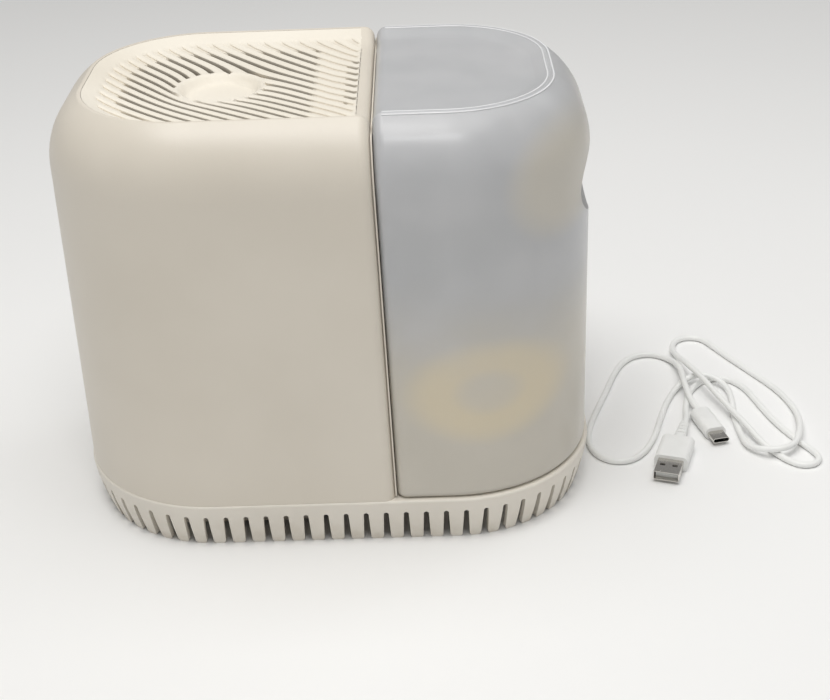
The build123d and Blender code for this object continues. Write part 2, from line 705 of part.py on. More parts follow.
def tank_cap():
    cap = disc(cap_outer, cap_low, CAP_TOP_Z, CAP_X) - disc(cap_inner, cap_floor_top, CAP_TOP_Z + 1, CAP_X)
    ribs = 24
    for index in range(ribs):
        angle = 2 * math.pi * index / ribs
        x = CAP_X + cap_outer * math.cos(angle)
        cap += disc(1.0, cap_low + 1, CAP_TOP_Z - 1, x, cap_outer * math.sin(angle))
    cap -= disc(VALVE_HOLE_RADIUS, cap_low - 1, cap_floor_top + 1, CAP_X)
    for index in range(3):
        angle = 2 * math.pi * (index + 0.25) / 3
        x = CAP_X + 12.5 * math.cos(angle)
        cap += disc(1.6, cap_floor_top - 0.5, cage_high - 0.5, x, 12.5 * math.sin(angle))
    return cap + ring(14.5, STEM_RADIUS + STEM_CLEARANCE, cage_low, cage_high, CAP_X)


save(tank_cap(), "tank_cap")
gasket = ring(NECK_RADIUS + 0.3, NECK_RADIUS - NECK_WALL - 1.5, cap_floor_top, NECK_END_Z, CAP_X)
save(gasket, "cap_gasket")

seal_low = cap_floor_top + VALVE_TRAVEL
disc_low = seal_low + SEAL_THICKNESS
disc_high = disc_low + 1.5
stem = disc(STEM_RADIUS, stem_foot_z, cage_high + 4, CAP_X)
stem += disc(VALVE_DISC_RADIUS, disc_low, disc_high, CAP_X)
save(stem, "valve_stem")
save(ring(VALVE_DISC_RADIUS, STEM_RADIUS, seal_low, disc_low, CAP_X), "valve_seal")


def valve_spring():
    height = cage_low - disc_high - 2 * SPRING_WIRE
    path = Helix(pitch=height / SPRING_TURNS, height=height, radius=SPRING_RADIUS)
    section = Plane(origin=path @ 0, z_dir=path % 0) * Circle(SPRING_WIRE)
    return Pos(CAP_X, 0, disc_high + SPRING_WIRE) * sweep(section, path, is_frenet=True)


save(valve_spring(), "valve_spring")


# ---------------------------------------------------------------- USB cable
def corner_radii(points):
    """The largest arc that each corner's two runs allow."""
    radii = []
    for before, corner, after in zip(points, points[1:], points[2:]):
        first = Vector(*corner) - Vector(*before)
        second = Vector(*after) - Vector(*corner)
        half_turn = math.radians(first.get_angle(second)) / 2
        radii.append(0.45 * min(first.length, second.length) / math.tan(half_turn))
    return radii


radii = corner_radii(CABLE_ROUTE)
print("cable radii:", [round(radius, 1) for radius in radii])
path = FilletPolyline(*CABLE_ROUTE, radius=radii)
section = Plane(origin=path @ 0, z_dir=path % 0) * Circle(CABLE_DIAMETER / 2)
tube = sweep(section, path)
print("cable length:", round(path.length, 1))
swept_volume = math.pi * CABLE_DIAMETER**2 / 4 * path.length
print("tube volume over section x length:", round(tube.volume / swept_volume, 4))
save(tube, "usb_cable")


def plug_frame(start, axis):
    """A plane at the cable's end, its Z along the plug's axis and its Y up."""
    return Plane(origin=start, x_dir=(axis[1], -axis[0], 0), z_dir=(axis[0], axis[1], 0))


def rounded_bar(size, radius):
    return extrude(RectangleRounded(size[0], size[1], radius), size[2])


def usb_a_overmould():
    neck_start = RectangleRounded(CABLE_DIAMETER + 1.6, CABLE_DIAMETER + 1.4, 2.1).face()
    neck_end = (Pos(0, 0, A_NECK[2]) * RectangleRounded(A_NECK[0], A_NECK[1], 2.4)).face()
    neck = loft([neck_start, neck_end])
    for index in range(4):
        groove_z = 2.5 + 3.0 * index
        core = Pos(0, 0, groove_z) * Box(4.2 + 0.4 * index, 4.0, 2)
        groove = Pos(0, 0, groove_z) * Box(20, 20, 1.0) - core
        neck -= groove
    body = Pos(0, 0, A_NECK[2] - 2) * rounded_bar((A_BODY[0], A_BODY[1], A_BODY[2] + 2), 2.6)
    body = fillet(body.edges().group_by(Axis.Z)[0], 2.0)
    return a_frame * (neck + body)


def plug_shell(size, wall, radius, start):
    outer = Pos(0, 0, start) * rounded_bar(size, radius)
    inner_size = (size[0] - 2 * wall, size[1] - 2 * wall, size[2])
    inner = Pos(0, 0, start + wall) * rounded_bar(inner_size, max(radius - wall, 0.1))
    return outer - inner


a_frame = plug_frame(CABLE_ROUTE[-1], A_AXIS)
a_face = A_NECK[2] + A_BODY[2]
a_shell = plug_shell(A_SHELL, A_SHELL_WALL, 0.6, a_face)
for side in (-1, 1):
    for x in (-2.9, 2.9):
        a_shell -= Pos(x, side * A_SHELL[1] / 2, a_face + 5.2) * Box(2.4, 1.5, 2.0)
save(usb_a_overmould(), "usb_a_overmould")
save(a_frame * a_shell, "usb_a_shell")
tongue_y = A_SHELL[1] / 2 - A_SHELL_WALL - A_TONGUE[1] / 2
a_tongue = Pos(0, tongue_y, a_face + A_SHELL_WALL + A_TONGUE[2] / 2) * Box(*A_TONGUE)
save(a_frame * a_tongue, "usb_a_tongue")


def usb_c_overmould():
    body = rounded_bar(C_BODY, 3.1)
    body = fillet(body.edges().group_by(Axis.Z)[0], 2.4)
    return c_frame * body


c_frame = plug_frame(CABLE_ROUTE[0], C_AXIS)
c_shell = plug_shell(C_SHELL, C_SHELL_WALL, C_SHELL[1] / 2 - 0.01, C_BODY[2])
save(usb_c_overmould(), "usb_c_overmould")
save(c_frame * c_shell, "usb_c_shell")
c_tongue = Pos(0, 0, C_BODY[2] + C_SHELL_WALL + C_TONGUE[2] / 2) * Box(*C_TONGUE)
save(c_frame * c_tongue, "usb_c_tongue")
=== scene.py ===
# %% [markdown]
# This lesson dresses a cool mist humidifier in Blender. The real object is a rounded fan housing of warm cream
# plastic beside a frosted lift-off water tank, both standing on a slotted base tray, with a loose charging cable.
# The engineering model already holds every moulding at its real size, so it is loaded first as a fixed frame.
# Each finish, the cable and the ribbed top are then added to that frame. Lengths are in metres.

# %% Load the frame
import bpy
import bmesh
import math
import numpy as np
from mathutils import Matrix, Vector


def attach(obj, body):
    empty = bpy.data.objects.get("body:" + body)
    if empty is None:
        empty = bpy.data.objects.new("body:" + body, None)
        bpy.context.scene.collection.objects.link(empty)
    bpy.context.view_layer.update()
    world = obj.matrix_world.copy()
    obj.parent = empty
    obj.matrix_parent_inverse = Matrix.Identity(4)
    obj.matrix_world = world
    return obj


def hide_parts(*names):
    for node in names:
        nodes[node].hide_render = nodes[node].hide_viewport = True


MM = 0.001
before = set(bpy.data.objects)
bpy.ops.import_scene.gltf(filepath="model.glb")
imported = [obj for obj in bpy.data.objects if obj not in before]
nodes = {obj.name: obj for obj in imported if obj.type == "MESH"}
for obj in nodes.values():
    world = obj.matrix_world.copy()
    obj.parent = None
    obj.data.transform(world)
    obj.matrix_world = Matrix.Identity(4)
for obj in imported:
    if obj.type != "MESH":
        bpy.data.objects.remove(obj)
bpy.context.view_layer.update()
print("nodes in the frame:", len(nodes))

# %% [markdown]
# A camera decides which details can be seen, so it comes first. The humidifier is looked down on from the front,
# a little to the right of its middle, from three quarters of a metre away. The three angles are turned into the
# camera's own axes: sideways, upwards and backwards. A long lens keeps the tall walls nearly straight.

# %% Camera
CAMERA_PLACE = Vector((45.06, -644.01, 403.52)) * MM
CAMERA_ANGLES = (-0.77, 28.32, -2.2)  # degrees: to the right, down, and anticlockwise
LENS_MM = 67.756
SENSOR_MM = 36
yaw, pitch, roll = (math.radians(angle) for angle in CAMERA_ANGLES)
ahead = Vector((math.sin(yaw) * math.cos(pitch), math.cos(yaw) * math.cos(pitch), -math.sin(pitch)))
level_side = Vector((math.cos(yaw), -math.sin(yaw), 0))
level_up = level_side.cross(ahead)
side = math.cos(roll) * level_side + math.sin(roll) * level_up
up = -math.sin(roll) * level_side + math.cos(roll) * level_up

lens = bpy.data.cameras.new("camera")
lens.lens = LENS_MM
lens.sensor_width = SENSOR_MM
lens.clip_start = 10 * MM
camera = bpy.data.objects.new("camera", lens)
bpy.context.scene.collection.objects.link(camera)
turn = Matrix((side, up, -ahead)).transposed().to_4x4()
camera.matrix_world = Matrix.Translation(CAMERA_PLACE) @ turn
bpy.context.scene.camera = camera
print("camera looks down by", round(math.degrees(pitch), 1), "degrees")

# %% [markdown]
# The charging cable is limp and thin: 3 mm across and a little over 80 cm long. It lies on the table in three
# loose loops that cross each other, and both plugs end up side by side. A NURBS curve suits it, because the
# curve is pulled towards its points without passing through them, and so it never kinks. The route runs from the
# USB-C plug to the USB-A plug, and where one strand crosses another the upper one is lifted over it.

# %% Charging cable
CABLE_DIAMETER = 3.0 * MM
CABLE_ROUTE = [
    (175.9, 25.0, 3.25), (173.88, 33.77, 3.25), (172.2, 46.0, 6.8), (172.6, 60.0, 6.8),
    (172.5, 73.0, 4.0), (169.3, 82.8, 1.8), (162.0, 88.6, 1.6), (152.6, 88.0, 1.6),
    (145.0, 81.0, 1.6), (139.0, 69.0, 1.6), (133.0, 51.0, 1.6), (126.2, 32.5, 1.6),
    (120.6, 15.5, 1.6), (118.6, 2.0, 1.6), (121.0, -9.5, 1.6), (128.5, -16.6, 1.6),
    (138.0, -15.8, 1.6), (145.6, -7.5, 1.6), (151.4, 5.0, 1.6), (156.0, 20.0, 1.6),
    (161.5, 37.0, 1.6), (168.5, 51.5, 1.7), (177.5, 58.8, 5.0), (188.0, 58.0, 5.0),
    (194.6, 49.5, 2.8), (195.0, 37.0, 1.6), (192.8, 21.0, 1.6), (193.0, 4.5, 1.6),
    (193.9, -7.2, 2.4), (199.6, -14.0, 4.4), (208.2, -15.6, 5.2), (216.0, -11.2, 5.2),
    (220.4, -0.4, 5.2), (223.4, 12.0, 3.6), (224.4, 28.0, 1.6), (219.6, 47.0, 1.6),
    (209.8, 66.0, 1.6), (200.4, 84.0, 1.6), (195.2, 95.0, 1.6), (191.3, 103.0, 1.6),
    (185.4, 106.2, 1.6), (178.9, 105.1, 1.6), (174.3, 100.3, 1.6), (172.6, 90.0, 2.6),
    (173.2, 78.0, 5.6), (175.8, 64.8, 8.8), (181.0, 50.5, 8.8), (186.2, 37.0, 6.6),
    (191.0, 23.5, 5.4), (196.0, 8.0, 5.2), (201.6, -6.0, 2.6), (208.6, -17.0, 1.6),
    (213.8, -23.0, 1.6), (218.0, -24.6, 1.6), (222.2, -23.8, 1.6), (225.2, -20.8, 1.6),
    (226.0, -16.6, 1.6), (223.6, -10.6, 1.6), (219.8, -3.5, 1.6), (215.2, 6.5, 1.6),
    (210.8, 19.0, 1.6), (207.0, 35.5, 1.6), (203.4, 51.0, 1.6), (195.6, 60.6, 1.6),
    (184.8, 59.8, 1.6), (176.6, 51.0, 1.6), (172.0, 39.0, 1.6), (169.9, 27.0, 1.9),
    (168.82, 17.36, 4.0), (166.8, 11.5, 4.0),
]


def smooth_tube(name, route, diameter):
    """A round cord along a smooth NURBS line pulled towards the points of its route.

    The bevel is a metre, and each point's radius brings it down to the cord's own half diameter."""
    curve = bpy.data.curves.new(name, "CURVE")
    curve.dimensions = "3D"
    curve.resolution_u = 10
    curve.bevel_depth = 1.0
    curve.bevel_resolution = 6
    curve.use_fill_caps = True
    line = curve.splines.new("NURBS")
    line.points.add(len(route) - 1)
    for point, place in zip(line.points, route):
        point.co = (*(value * MM for value in place), 1)
        point.radius = diameter / 2
    line.order_u = 3
    line.use_endpoint_u = True
    piece = bpy.data.objects.new(name, curve)
    bpy.context.scene.collection.objects.link(piece)
    return piece


cable = smooth_tube("charging_cable", CABLE_ROUTE, CABLE_DIAMETER)
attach(cable, "base")
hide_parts("usb_cable")
print("cable route points:", len(CABLE_ROUTE))

# %% [markdown]
# Small products are photographed on a white sweep under large soft lights. Here a pale floor stands in for the
# sweep, and the sky is an even grey-white. Nearly all the light falls from straight above, so the top is the
# brightest part and the walls stay a quiet taupe that only the floor lights up again. A thin strip in front of
# the crest draws the gloss on the frosted tank, and a weak light behind it lifts its far edge.

# %% Floor and lights
def flat_mesh(name, corners):
    mesh = bpy.data.meshes.new(name)
    mesh.from_pydata(corners, [], [tuple(range(len(corners)))])
    piece = bpy.data.objects.new(name, mesh)
    bpy.context.scene.collection.objects.link(piece)
    return piece


REACH = 6.0
floor = flat_mesh("floor", [(-REACH, -REACH, 0), (REACH, -REACH, 0), (REACH, REACH, 0), (-REACH, REACH, 0)])

AIR_COLOUR = (1.0, 0.995, 0.985, 1)
AIR_STRENGTH = 0.29
world = bpy.data.worlds.new("studio_air")
world.use_nodes = True
sky = world.node_tree.nodes["Background"].inputs
sky["Color"].default_value = AIR_COLOUR
sky["Strength"].default_value = AIR_STRENGTH
bpy.context.scene.world = world
bpy.context.scene.view_settings.view_transform = "Standard"


def softbox(name, place, aim, width, height, watts, colour):
    light = bpy.data.lights.new(name, "AREA")
    light.shape = "RECTANGLE"
    light.size = width
    light.size_y = height
    light.energy = watts
    light.color = colour
    lamp = bpy.data.objects.new(name, light)
    bpy.context.scene.collection.objects.link(lamp)
    lamp.location = place
    lamp.rotation_euler = (Vector(aim) - Vector(place)).to_track_quat("-Z", "Y").to_euler()
    return lamp


WARM_WHITE = (1.0, 0.99, 0.97)
COOL_WHITE = (0.97, 0.985, 1.0)
PLAIN_WHITE = (1.0, 1.0, 1.0)
softbox("over_softbox", place=(0.05, -0.1, 1.5), aim=(0.05, -0.1, 0),
        width=1.5, height=1.2, watts=11.5, colour=WARM_WHITE)
softbox("high_softbox", place=(-0.25, -0.45, 1.6), aim=(0, 0, 0.1),
        width=0.7, height=0.5, watts=5.5, colour=WARM_WHITE)
softbox("rim_softbox", place=(0.9, 0.6, 1.0), aim=(0.05, 0, 0.12),
        width=0.4, height=0.6, watts=0.8, colour=COOL_WHITE)
softbox("crest_softbox", place=(0.12, -0.75, 1.25), aim=(0.05, -0.05, 0.19),
        width=0.35, height=0.08, watts=1.9, colour=PLAIN_WHITE)
print("lights:", len(bpy.data.lights))

# %% [markdown]
# Every finish below is worked out by shader nodes. To keep that readable, one small class wraps a node's output
# and lets it be added, subtracted, multiplied and divided like a number. A second one holds a material and adds
# any node by its type, its settings and its inputs.

# %% Shader maths as plain expressions
class Value:
    """A number that changes over the surface."""

    def __init__(self, paint, socket):
        self.paint = paint
        self.socket = socket

    def _math(self, operation, first, second):
        return self.paint.value("ShaderNodeMath", {"operation": operation}, {0: first, 1: second})

    def __add__(self, other):
        return self._math("ADD", self, other)

    def __radd__(self, other):
        return self._math("ADD", other, self)

    def __sub__(self, other):
        return self._math("SUBTRACT", self, other)

    def __rsub__(self, other):
        return self._math("SUBTRACT", other, self)

    def __mul__(self, other):
        return self._math("MULTIPLY", self, other)

    def __rmul__(self, other):
        return self._math("MULTIPLY", other, self)

    def __truediv__(self, other):
        return self._math("DIVIDE", self, other)

    def __rtruediv__(self, other):
        return self._math("DIVIDE", other, self)


class Paint:
    """A material and the nodes that make it."""

    # A Mix node has sockets for numbers, vectors and colours. These are the ones for colours.
    FIRST_COLOUR, SECOND_COLOUR, MIXED_COLOUR = 6, 7, 2

    def __init__(self, name):
        self.material = bpy.data.materials.new(name)
        self.material.use_nodes = True
        self.tree = self.material.node_tree
        self.surface = self.tree.nodes["Principled BSDF"]
        self.places = self.node("ShaderNodeTexCoord").outputs["Object"]

    def node(self, kind, settings=None, inputs=None):
        made = self.tree.nodes.new(kind)
        for name, setting in (settings or {}).items():
            setattr(made, name, setting)
        for name, given in (inputs or {}).items():
            self.feed(made.inputs[name], given)
        return made

    def feed(self, socket, given):
        if isinstance(given, Value):
            self.tree.links.new(given.socket, socket)
        elif isinstance(given, bpy.types.NodeSocket):
            self.tree.links.new(given, socket)
        else:
            socket.default_value = given

    def value(self, kind, settings=None, inputs=None, output=0):
        return Value(self, self.node(kind, settings, inputs).outputs[output])

    def noise(self, size, detail=2.0, stretch=None):
        """Soft random blotches about size metres across."""
        places = self.places
        if stretch is not None:
            scaled = self.node("ShaderNodeVectorMath", {"operation": "MULTIPLY"}, {0: places, 1: stretch})
            places = scaled.outputs[0]
        return self.value("ShaderNodeTexNoise", None, {"Vector": places, "Scale": 1 / size, "Detail": detail})

    def between(self, low, high, amount):
        """A colour between two, by an amount from 0 to 1. Either end may be a plain colour or a mixed one."""
        ends = [end if isinstance(end, bpy.types.NodeSocket) else (*end, 1) for end in (low, high)]
        given = {"Factor": amount, self.FIRST_COLOUR: ends[0], self.SECOND_COLOUR: ends[1]}
        return self.node("ShaderNodeMix", {"data_type": "RGBA"}, given).outputs[self.MIXED_COLOUR]

    def fade(self, amount, low, high):
        """0 below low, 1 above high, and smooth in between."""
        settings = {"interpolation_type": "SMOOTHSTEP"}
        return self.value("ShaderNodeMapRange", settings, {"Value": amount, "From Min": low, "From Max": high})

    def finish(self, colour, roughness, height=None, depth=0.0, **constants):
        """Feeds the surface. Height is in units of depth metres."""
        self.feed(self.surface.inputs["Base Color"], colour)
        self.feed(self.surface.inputs["Roughness"], roughness)
        if height is not None:
            relief = self.node("ShaderNodeBump", None, {"Height": height, "Distance": depth})
            self.feed(self.surface.inputs["Normal"], relief.outputs["Normal"])
        for name, given in constants.items():
            self.surface.inputs[name.replace("_", " ")].default_value = given
        return self.material


def coat(material, *names):
    for name in names:
        slots = nodes[name].data.materials
        slots.clear()
        slots.append(material)


print("shader helpers are ready")

# %% [markdown]
# Both mouldings that face the room are warm cream plastic from a finely blasted mould. The grain is a third of a
# millimetre across and hardly deep, enough to break up the highlight. Large mouldings also cool unevenly, so the
# colour drifts a little over some centimetres. Handled plastic has faint rubbed patches, which are smoother.

# %% Cream mouldings
BLASTED_GRAIN = 0.35 * MM
GRAIN_DEPTH = 0.02 * MM


def moulded(name, light, dark, grain=BLASTED_GRAIN, depth=GRAIN_DEPTH, roughness=0.5, drift=60 * MM, **constants):
    paint = Paint(name)
    cloud = paint.noise(drift)
    rubbed = paint.fade(paint.noise(drift / 3, 3.0), 0.52, 0.75)
    colour = paint.between(dark, light, paint.fade(cloud, 0.3, 0.7))
    matt = roughness + 0.06 * (cloud - 0.5) - 0.02 * rubbed
    return paint.finish(colour, matt, paint.noise(grain, 1.0), depth, **constants)


cream = moulded("cream_moulding", (0.74, 0.685, 0.595), (0.71, 0.655, 0.565), roughness=0.36)
coat(cream, "housing_shell", "tank_cap", "valve_post")
# The top's cream is painted lighter than the walls' cream of the same plastic, as painted light from above.
cream_top_painted_lit = moulded("top_cream_painted_lighter", (0.86, 0.81, 0.715), (0.82, 0.765, 0.665), roughness=0.5)
coat(cream_top_painted_lit, "top_grille", "power_button")
print("cream finishes made")

# %% [markdown]
# The base tray is the same plastic a shade lighter than the walls. Its skirt is a row of open-footed teeth. Low
# down, within 18 mm of the table, the colour turns browner and the surface rougher in patches. Height above the
# table gives that mask.

# %% Base tray
LOW_PATCH_BROWN = (0.55, 0.47, 0.36)
LOW_PATCH_HEIGHT = 18 * MM


def tray_finish():
    paint = Paint("base_moulding")
    split = paint.node("ShaderNodeSeparateXYZ", None, {0: paint.places})
    height = Value(paint, split.outputs["Z"])
    cloud = paint.noise(45 * MM)
    low = 1 - paint.fade(height, 0.0, LOW_PATCH_HEIGHT)
    # Browner, rougher patches within 18 mm of the table.
    low_patches = paint.fade(paint.noise(7 * MM, 4.0), 0.35, 0.8) * low
    plain = paint.between((0.78, 0.735, 0.655), (0.82, 0.775, 0.695), paint.fade(cloud, 0.3, 0.7))
    browned = paint.between(plain, LOW_PATCH_BROWN, low_patches * 0.35)
    return paint.finish(browned, 0.48 + 0.2 * low_patches, paint.noise(BLASTED_GRAIN, 1.0), GRAIN_DEPTH)


coat(tray_finish(), "base_tray")
print("base tray finish made")

# %% [markdown]
# The tank is blow-moulded milky polypropylene, 2 mm thick. Light passes through it but scatters on the way, so
# what is behind shows only as soft patches. A rough transmitting surface does this: the roughness blurs both the
# highlight and the view through the wall. The wall's thickness wanders, which shows as slow changes in roughness.
# Low down, in a soft ring round the cap and again in front of the finger grip, the colour is painted warm: a
# painted show-through of the cream tray, cap and housing behind the wall. Each warm patch is a soft ellipse, given
# by its middle and its half sizes.

# %% Frosted tank
PAINTED_SHOW_THROUGH = (0.98, 0.885, 0.69)
RING_X, RING_Z, RING_HALF_X, RING_HALF_Z = 68 * MM, 74 * MM, 31 * MM, 21 * MM
GRIP_X, GRIP_Z, GRIP_HALF_X, GRIP_HALF_Z = 101 * MM, 162 * MM, 25 * MM, 25 * MM
FOOT_FULL_Z, FOOT_END_Z = 70 * MM, 128 * MM
FRONT_FULL_Y, FRONT_END_Y = -60 * MM, -20 * MM


def spread(x, z, middle_x, middle_z, half_x, half_z):
    """0 in the middle of an ellipse and 1 on its rim."""
    across = (x - middle_x) / half_x
    over = (z - middle_z) / half_z
    return across * across + over * over


def frosted_finish():
    paint = Paint("frosted_wall")
    split = paint.node("ShaderNodeSeparateXYZ", None, {0: paint.places})
    x, y, z = (Value(paint, split.outputs[name]) for name in ("X", "Y", "Z"))
    cloud = paint.noise(38 * MM, 2.0)
    streak = paint.noise(9 * MM, 3.0, (1.0, 1.0, 0.25))
    wander = 40 * MM * (cloud - 0.5)
    milky = paint.between((0.71, 0.72, 0.735), (0.78, 0.785, 0.80), paint.fade(cloud, 0.3, 0.7))
    cap = spread(x, z, RING_X, RING_Z, RING_HALF_X, RING_HALF_Z)
    ring = (1 - paint.fade(cap, 0.55, 1.7)) * (0.25 + 0.75 * paint.fade(cap, 0.02, 0.35))
    front = 1 - paint.fade(y, FRONT_FULL_Y, FRONT_END_Y)
    foot = 1 - paint.fade(z + wander, FOOT_FULL_Z, FOOT_END_Z)
    grip = 1 - paint.fade(spread(x, z, GRIP_X, GRIP_Z, GRIP_HALF_X, GRIP_HALF_Z), 0.2, 1.3)
    # Painted show-through: warm colour painted low down, in the ring round the cap and in front of the grip, for
    # the cream parts behind the wall.
    painted_glow = paint.between(milky, PAINTED_SHOW_THROUGH, 0.5 * foot + 0.5 * ring * front + 0.45 * grip)
    matt = 0.31 + 0.08 * (streak - 0.5)
    return paint.finish(painted_glow, matt, paint.noise(1.5 * MM, 1.0), 0.006 * MM,
                        Transmission_Weight=0.4, IOR=1.3, Coat_Weight=0.4, Coat_Roughness=0.22)


frosted = frosted_finish()
coat(frosted, "tank_shell")
print("frosted wall made")

# %% [markdown]
# The parts inside are seen when the housing or the tank is lifted off. The deck and the filter's frame are plain
# white mouldings, the fan is black, and the wick is folded paper whose fibres give it a dull, uneven surface.

# %% Inner mouldings, rubber, foam and paper
inner = moulded("inner_moulding", (0.84, 0.83, 0.79), (0.80, 0.79, 0.75), roughness=0.42, drift=30 * MM)
coat(inner, "fan_deck", "filter_frame", "valve_stem")
black = moulded("black_moulding", (0.035, 0.035, 0.038), (0.022, 0.022, 0.025), roughness=0.4, drift=15 * MM)
coat(black, "fan_frame", "fan_impeller", "button_switch", "usb_c_tongue")
rubber = moulded("foot_rubber", (0.20, 0.195, 0.19), (0.15, 0.147, 0.143),
                 grain=0.6 * MM, depth=0.05 * MM, roughness=0.8)
coat(rubber, "rubber_feet")
silicone = moulded("seal_silicone", (0.80, 0.80, 0.78), (0.74, 0.74, 0.72), roughness=0.6, drift=8 * MM)
coat(silicone, "cap_gasket", "valve_seal")


FOAM_CELL = 0.8 * MM
PAPER_FIBRE = 0.9 * MM


def cells_finish():
    paint = Paint("float_foam")
    cells = paint.value("ShaderNodeTexVoronoi", None, {"Vector": paint.places, "Scale": 1 / FOAM_CELL})
    colour = paint.between((0.72, 0.72, 0.70), (0.88, 0.88, 0.86), cells)
    return paint.finish(colour, 0.85 - 0.1 * cells, cells, 0.12 * MM)


def paper_finish():
    paint = Paint("wick_paper")
    fibres = paint.noise(PAPER_FIBRE, 6.0, (1.0, 1.0, 0.3))
    damp = paint.fade(paint.noise(25 * MM), 0.4, 0.65)
    colour = paint.between((0.62, 0.72, 0.78), (0.84, 0.89, 0.92), fibres - 0.15 * damp)
    return paint.finish(colour, 0.9 - 0.15 * damp, fibres, 0.15 * MM)


coat(cells_finish(), "water_float")
coat(paper_finish(), "wick_filter")
print("inner finishes made")

# %% [markdown]
# Metal shows its working: drawn wire and turned shafts carry fine lines along one direction, while the stamped
# shells of the plugs are nickel plated and only slightly clouded by handling. The lines are noise that is
# stretched many times longer one way than the other.

# %% Metals, board and lens
def metal(name, light, dark, stretch, roughness):
    paint = Paint(name)
    lines = paint.noise(0.25 * MM, 3.0, stretch)
    haze = paint.noise(4 * MM, 3.0)
    colour = paint.between(dark, light, paint.fade(lines, 0.3, 0.7))
    matt = roughness + 0.18 * (haze - 0.5)
    return paint.finish(colour, matt, lines, 0.004 * MM, Metallic=1.0)


steel = metal("drawn_steel", (0.62, 0.62, 0.63), (0.52, 0.52, 0.53), (1.0, 1.0, 0.05), 0.32)
coat(steel, "fan_motor", "fan_shaft", "fan_screws", "board_screws", "valve_spring")
nickel = metal("nickel_plate", (0.70, 0.68, 0.64), (0.62, 0.60, 0.57), (0.2, 1.0, 1.0), 0.24)
coat(nickel, "usb_a_shell", "usb_c_shell", "usb_c_inlet")


TRACKS_PER_METRE = 260.0


def board_finish():
    paint = Paint("solder_mask")
    tracks = paint.value("ShaderNodeTexBrick", None, {"Vector": paint.places, "Scale": TRACKS_PER_METRE}, "Fac")
    weave = paint.noise(0.4 * MM, 1.0)
    colour = paint.between((0.012, 0.11, 0.045), (0.02, 0.19, 0.075), tracks)
    return paint.finish(colour, 0.28 + 0.08 * weave, tracks, 0.03 * MM)


def lens_finish():
    paint = Paint("clear_lens")
    haze = paint.noise(0.5 * MM)
    colour = paint.between((0.80, 0.88, 0.92), (0.88, 0.93, 0.95), haze)
    return paint.finish(colour, 0.12 + 0.1 * haze, haze, 0.01 * MM, Transmission_Weight=0.5)


coat(board_finish(), "control_board")
coat(lens_finish(), "led_lens")
print("metals made")

# %% [markdown]
# The cable's jacket is soft white plastic with a dull satin skin, and it picks up fine scuffs along its length. The
# plugs' overmoulds are the same white, a touch glossier. Their inner tongue is hard white plastic.

# %% Cable and plugs
jacket = moulded("cable_jacket", (0.93, 0.935, 0.92), (0.89, 0.895, 0.88), grain=0.8 * MM,
                 roughness=0.42, drift=18 * MM)
cable.data.materials.append(jacket)
overmould = moulded("plug_moulding", (0.92, 0.925, 0.91), (0.88, 0.885, 0.87), roughness=0.38, drift=10 * MM)
coat(overmould, "usb_a_overmould", "usb_a_tongue", "usb_c_overmould")


def floor_finish():
    paint = Paint("floor_paper")
    cloud = paint.noise(0.35)
    colour = paint.between((0.90, 0.90, 0.895), (0.93, 0.93, 0.925), cloud)
    return paint.finish(colour, 0.85 + 0.05 * cloud, paint.noise(2 * MM), 0.02 * MM)


floor.data.materials.append(floor_finish())
print("materials:", len(bpy.data.materials))

# %% [markdown]
# The top of the housing is one hollow panel of parallel ribs, set at 45 degrees and swirled round a middle dish.
# Between the ribs are slots that go right through in the middle of the panel and fade to shallow
# grooves towards its edge. A plain sheet with cut slots would miss the ribs' round crowns. The mesh here is woven
# from lines that follow the slots themselves: one direction runs along a slot, the other steps across it, so
# every slot edge is a clean line of vertices. The panel's height comes first: a cove that sinks from the edge, and
# the middle dish.

# %% Ribbed top panel
PITCH = 5.6
SLOT = 2.2
SWIRL = 4.9
DISH_RADIUS = 18.8
DISH_FLOOR_RADIUS = 13.5
DISH_DEPTH = 4.0
DISH_X = -43.0
HALF_WIDTH, HALF_DEPTH, CORNER = 116.0, 76.0, 62.8
EDGE_INSET = 17.15
RIGHT_EDGE = 16.9
SEAM_BLEND = (4.0, 15.5)

# The cove as (inset, height) pairs: as the ribs follow it, and as it meets the border beside the seam.
COVE = [(17.0, 193.8), (20.0, 192.2), (23.1, 190.6), (27.0, 189.75), (31.8, 189.25), (40.0, 188.75), (58.0, 188.0)]
SEAM_COVE = [(17.0, 193.8), (20.4, 192.4), (23.8, 191.05), (26.0, 190.1), (27.5, 189.6), (29.4, 189.1),
             (31.5, 188.8)]


def inset_at(x, y):
    """How far inside the body's outline a point is."""
    out_x = np.abs(x) - (HALF_WIDTH - CORNER)
    out_y = np.abs(y) - (HALF_DEPTH - CORNER)
    corner = np.hypot(np.maximum(out_x, 0), np.maximum(out_y, 0))
    return CORNER - corner - np.minimum(np.maximum(out_x, out_y), 0)


def smooth_step(value, low, high):
    part = np.clip((value - low) / (high - low), 0, 1)
    return part * part * (3 - 2 * part)


def panel_height(x, y):
    """The panel without its ribs: a cove that flattens inwards, and the middle dish."""
    inset = inset_at(x, y)
    beside_seam = smooth_step(x, *SEAM_BLEND)
    cove = (1 - beside_seam) * np.interp(inset, *zip(*COVE)) + beside_seam * np.interp(inset, *zip(*SEAM_COVE))
    radius = np.hypot(x - DISH_X, y)
    bowl = DISH_DEPTH * (1 - smooth_step(radius, DISH_FLOOR_RADIUS, DISH_RADIUS))
    return cove - bowl


print("panel height at its edge:", COVE[0][1])
